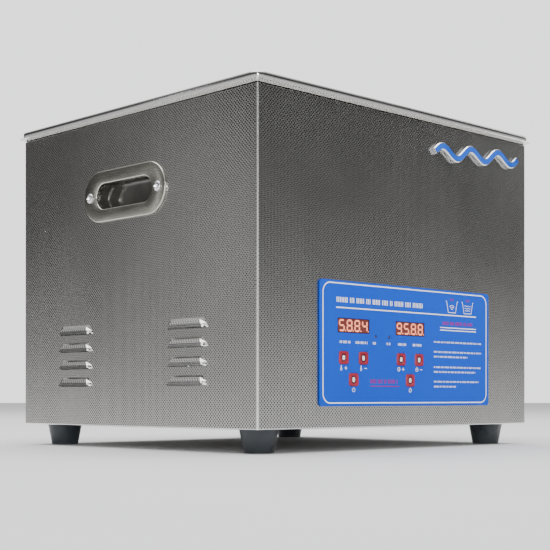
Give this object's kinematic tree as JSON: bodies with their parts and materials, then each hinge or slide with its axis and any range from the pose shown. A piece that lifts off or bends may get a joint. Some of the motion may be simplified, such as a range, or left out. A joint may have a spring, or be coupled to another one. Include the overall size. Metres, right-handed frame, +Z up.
{
  "type": "ultrasonic cleaner",
  "caption": "Bench-top ultrasonic cleaner: embossed steel casing with a lidded tank, blue control panel, grip recesses, louvres, fan, drain valve and rubber feet.",
  "frame": {"origin": "on the surface it stands on, under the middle of the whole object's box", "axes": "+Z up, +Y from the control panel towards the rear panel, +X to the right seen from the front"},
  "size_m": [0.371, 0.3558, 0.3168],
  "materials": {
    "embossed_steel": "embossed, satin",
    "plain_steel": "satin",
    "plate_steel": "ground",
    "lid_steel": "brushed",
    "tank_steel": "polished",
    "chrome": "polished",
    "badge": "chrome edge, blue face",
    "brass": "nickel plated",
    "aluminium": "machined",
    "rubber": "moulded",
    "silicone": "matt",
    "black_plastic": "moulded",
    "panel_blue": "printed film",
    "key_red": "moulded",
    "display": "tinted window",
    "rocker_red": "moulded",
    "lever_red": "vinyl dipped",
    "board_green": "solder resist",
    "stack": "machined",
    "ferrite": "dull"
  },
  "bodies": {
    "housing": {"casing_wrap": "embossed_steel", "rear_panel": "plain_steel", "base_plate": "plain_steel", "tank": "tank_steel", "tank_gasket": "silicone", "badge": "badge", "handle_plate_left": "plate_steel", "handle_plate_right": "plate_steel", "handle_cup_left": "black_plastic", "handle_cup_right": "black_plastic", "handle_screw_left_front": "chrome", "handle_screw_left_rear": "chrome", "handle_screw_right_front": "chrome", "handle_screw_right_rear": "chrome", "foot_front_left": "rubber", "foot_front_right": "rubber", "foot_rear_left": "rubber", "foot_rear_right": "rubber", "control_panel": "panel_blue", "control_board": "board_green", "display_heat": "display", "display_timer": "display", "fan_frame": "black_plastic", "fan_guard": "chrome", "power_inlet": "black_plastic", "power_switch_housing": "black_plastic", "drain_pipe": "brass", "drain_valve_body": "brass", "drain_outlet": "brass", "heater_pad_front": "silicone", "heater_pad_rear": "silicone", "temperature_sensor": "black_plastic", "generator_board": "board_green", "heat_sink": "aluminium", "transformer": "ferrite", "transducer_horn_1": "aluminium", "transducer_stack_1": "stack", "transducer_horn_2": "aluminium", "transducer_stack_2": "stack", "transducer_horn_3": "aluminium", "transducer_stack_3": "stack", "transducer_horn_4": "aluminium", "transducer_stack_4": "stack", "transducer_horn_5": "aluminium", "transducer_stack_5": "stack", "transducer_horn_6": "aluminium", "transducer_stack_6": "stack"},
    "lid": {"lid": "lid_steel", "lid_handle": "tank_steel"},
    "rotor": {"fan_rotor": "black_plastic"},
    "rocker": {"power_switch_rocker": "rocker_red"},
    "drain_lever": {"drain_valve_stem": "chrome", "drain_valve_lever": "lever_red"},
    "key_heat_up": {"key_heat_up": "key_red"},
    "key_heat_down": {"key_heat_down": "key_red"},
    "key_heat_power": {"key_heat_power": "key_red"},
    "key_timer_up": {"key_timer_up": "key_red"},
    "key_timer_down": {"key_timer_down": "key_red"},
    "key_timer_power": {"key_timer_power": "key_red"}
  },
  "joints": [
    {"name": "lid_lift", "type": "slide", "parent": "housing", "child": "lid", "axis": [0, 0, 1], "range_m": [0, 0.16]},
    {"name": "fan_spin", "type": "hinge", "parent": "housing", "child": "rotor", "pos_m": [-0.015, 0.13, 0.079], "axis": [0, 1, 0], "continuous": true},
    {"name": "power_rocker", "type": "hinge", "parent": "housing", "child": "rocker", "pos_m": [-0.125, 0.1482, 0.107], "axis": [-1, 0, 0], "range_deg": [0, 16]},
    {"name": "drain_turn", "type": "hinge", "parent": "housing", "child": "drain_lever", "pos_m": [0.17, 0.1046, 0.06], "axis": [1, 0, 0], "range_deg": [0, 90]},
    {"name": "press_heat_up", "type": "slide", "parent": "housing", "child": "key_heat_up", "axis": [0, 1, 0], "range_m": [0, 0.0006], "stiffness_N_per_m": 800, "springref_m": -0.0006},
    {"name": "press_heat_down", "type": "slide", "parent": "housing", "child": "key_heat_down", "axis": [0, 1, 0], "range_m": [0, 0.0006], "stiffness_N_per_m": 800, "springref_m": -0.0006},
    {"name": "press_heat_power", "type": "slide", "parent": "housing", "child": "key_heat_power", "axis": [0, 1, 0], "range_m": [0, 0.0006], "stiffness_N_per_m": 800, "springref_m": -0.0006},
    {"name": "press_timer_up", "type": "slide", "parent": "housing", "child": "key_timer_up", "axis": [0, 1, 0], "range_m": [0, 0.0006], "stiffness_N_per_m": 800, "springref_m": -0.0006},
    {"name": "press_timer_down", "type": "slide", "parent": "housing", "child": "key_timer_down", "axis": [0, 1, 0], "range_m": [0, 0.0006], "stiffness_N_per_m": 800, "springref_m": -0.0006},
    {"name": "press_timer_power", "type": "slide", "parent": "housing", "child": "key_timer_power", "axis": [0, 1, 0], "range_m": [0, 0.0006], "stiffness_N_per_m": 800, "springref_m": -0.0006}
  ]
}
